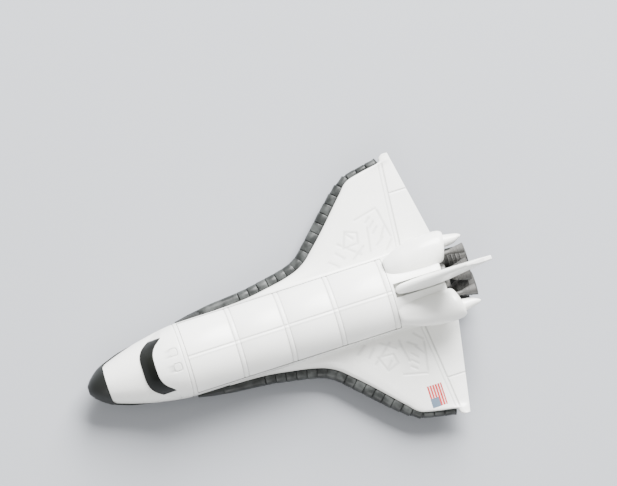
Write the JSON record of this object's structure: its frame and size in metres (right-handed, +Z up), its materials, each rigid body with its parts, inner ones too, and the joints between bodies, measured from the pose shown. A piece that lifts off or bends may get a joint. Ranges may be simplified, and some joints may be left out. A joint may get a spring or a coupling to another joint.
{
  "type": "toy space shuttle",
  "caption": "Small die-cast toy space shuttle on rolling wheels, with a ribbed black wing edge, a tall fin and engine bells.",
  "frame": {"origin": "centre of the bounding box on the floor that the wheels stand on", "axes": "+Z up, nose along -Y, port wing along +X"},
  "size_m": [0.0502, 0.076, 0.0293],
  "materials": {
    "white_paint": "warm off-white semi-gloss paint",
    "white_plastic": "off-white moulded plastic, semi-gloss",
    "black_gloss": "glossy black",
    "black_plastic": "black moulded plastic, satin",
    "grey_plastic": "dark grey moulded plastic, satin",
    "wheel_plastic": "black moulded plastic",
    "pin_steel": "bright drawn wire",
    "rivet_zinc": "bare peened zinc"
  },
  "bodies": {
    "shell": {"body_casting": "white_paint", "payload_bay_cover": "white_plastic", "tail_fin": "white_plastic", "windscreen": "black_gloss", "underbody": "black_plastic", "engine_bulkhead": "grey_plastic", "main_engine_upper": "grey_plastic", "main_engine_port": "grey_plastic", "main_engine_starboard": "grey_plastic", "orbital_engine_port": "grey_plastic", "orbital_engine_starboard": "grey_plastic", "rivet_front": "rivet_zinc", "rivet_rear": "rivet_zinc"},
    "nose_wheels": {"nose_pin": "pin_steel", "nose_wheel_port": "wheel_plastic", "nose_wheel_starboard": "wheel_plastic"},
    "main_wheels_port": {"main_port_pin": "pin_steel", "main_port_wheel_port": "wheel_plastic", "main_port_wheel_starboard": "wheel_plastic"},
    "main_wheels_starboard": {"main_starboard_pin": "pin_steel", "main_starboard_wheel_port": "wheel_plastic", "main_starboard_wheel_starboard": "wheel_plastic"}
  },
  "joints": [
    {"name": "nose_wheels_roll", "type": "hinge", "parent": "shell", "child": "nose_wheels", "pos_m": [0, -0.0244, 0.0019], "axis": [1, 0, 0], "continuous": true},
    {"name": "main_wheels_port_roll", "type": "hinge", "parent": "shell", "child": "main_wheels_port", "pos_m": [0.0069, 0.0135, 0.0023], "axis": [1, 0, 0], "continuous": true},
    {"name": "main_wheels_starboard_roll", "type": "hinge", "parent": "shell", "child": "main_wheels_starboard", "pos_m": [-0.0069, 0.0135, 0.0023], "axis": [1, 0, 0], "continuous": true}
  ]
}
